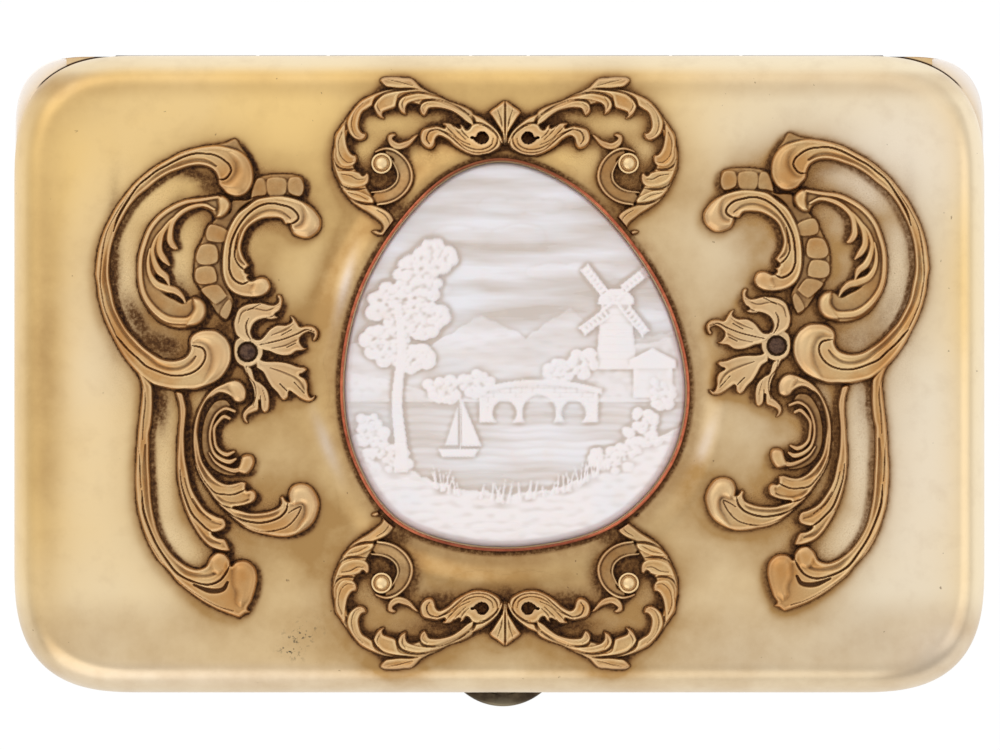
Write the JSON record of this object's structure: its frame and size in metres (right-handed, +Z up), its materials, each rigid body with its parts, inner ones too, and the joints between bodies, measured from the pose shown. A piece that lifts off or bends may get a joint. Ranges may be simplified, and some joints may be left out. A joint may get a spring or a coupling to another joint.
{
  "type": "cigarette case",
  "caption": "Flat hinged metal case with rounded corners, an egg-shaped pearl plaque in a bezel, cast scroll mounts on the lid and a thumb button under the front edge.",
  "frame": {"origin": "middle of the flat underside, on the surface that the shut case lies on", "axes": "+X along the case's length, +Y towards the hinge, +Z up through the lid; the lid is shut at rest"},
  "size_m": [0.11, 0.074, 0.0201],
  "materials": {
    "gilt": "worn satin gilt",
    "cast_gilt": "matt gilt casting, dark in its hollows",
    "rose_gold": "polished reddish gold",
    "pearl": "carved mother-of-pearl",
    "oxidised": "dark oxidised, worn at the rim",
    "spring_steel": "plain",
    "dark_brass": "dark, tarnished",
    "elastic": "ribbed elastic ribbon"
  },
  "bodies": {
    "base": {"base_shell": "gilt", "base_hinge_bearer": "gilt", "base_rim_left": "gilt", "base_rim_right": "gilt", "base_knuckle_1": "gilt", "base_knuckle_2": "gilt", "base_knuckle_3": "gilt", "base_knuckle_4": "gilt", "hinge_pin": "spring_steel", "latch_guide": "gilt", "latch_spring": "spring_steel", "spring_block": "gilt", "spring_rivet_outer": "gilt", "spring_rivet_inner": "gilt", "base_band": "elastic", "base_keeper_front": "gilt", "base_keeper_back": "gilt"},
    "lid": {"lid_shell": "gilt", "lid_hinge_bearer": "gilt", "lid_knuckle_1": "gilt", "lid_knuckle_2": "gilt", "lid_knuckle_3": "gilt", "strike_plate": "gilt", "cameo_plaque": "pearl", "cameo_bezel": "rose_gold", "left_mount": "cast_gilt", "right_mount": "cast_gilt", "top_mount": "cast_gilt", "bottom_mount": "cast_gilt", "left_rivet": "dark_brass", "right_rivet": "dark_brass", "stud_top_left": "cast_gilt", "stud_top_right": "cast_gilt", "stud_bottom_left": "cast_gilt", "stud_bottom_right": "cast_gilt", "lid_band": "elastic", "lid_keeper_front": "gilt", "lid_keeper_back": "gilt"},
    "button": {"thumb_button": "oxidised", "latch_hook": "spring_steel"}
  },
  "joints": [
    {"name": "lid_hinge", "type": "hinge", "parent": "base", "child": "lid", "pos_m": [0, 0.03502, 0.0088], "axis": [-1, 0, 0], "range_deg": [0, 102]},
    {"name": "button_slide", "type": "slide", "parent": "base", "child": "button", "axis": [0, 1, 0], "range_m": [0, 0.0008], "stiffness_N_per_m": 1700, "springref_m": -0.0005, "deforming": ["latch_spring"]}
  ]
}
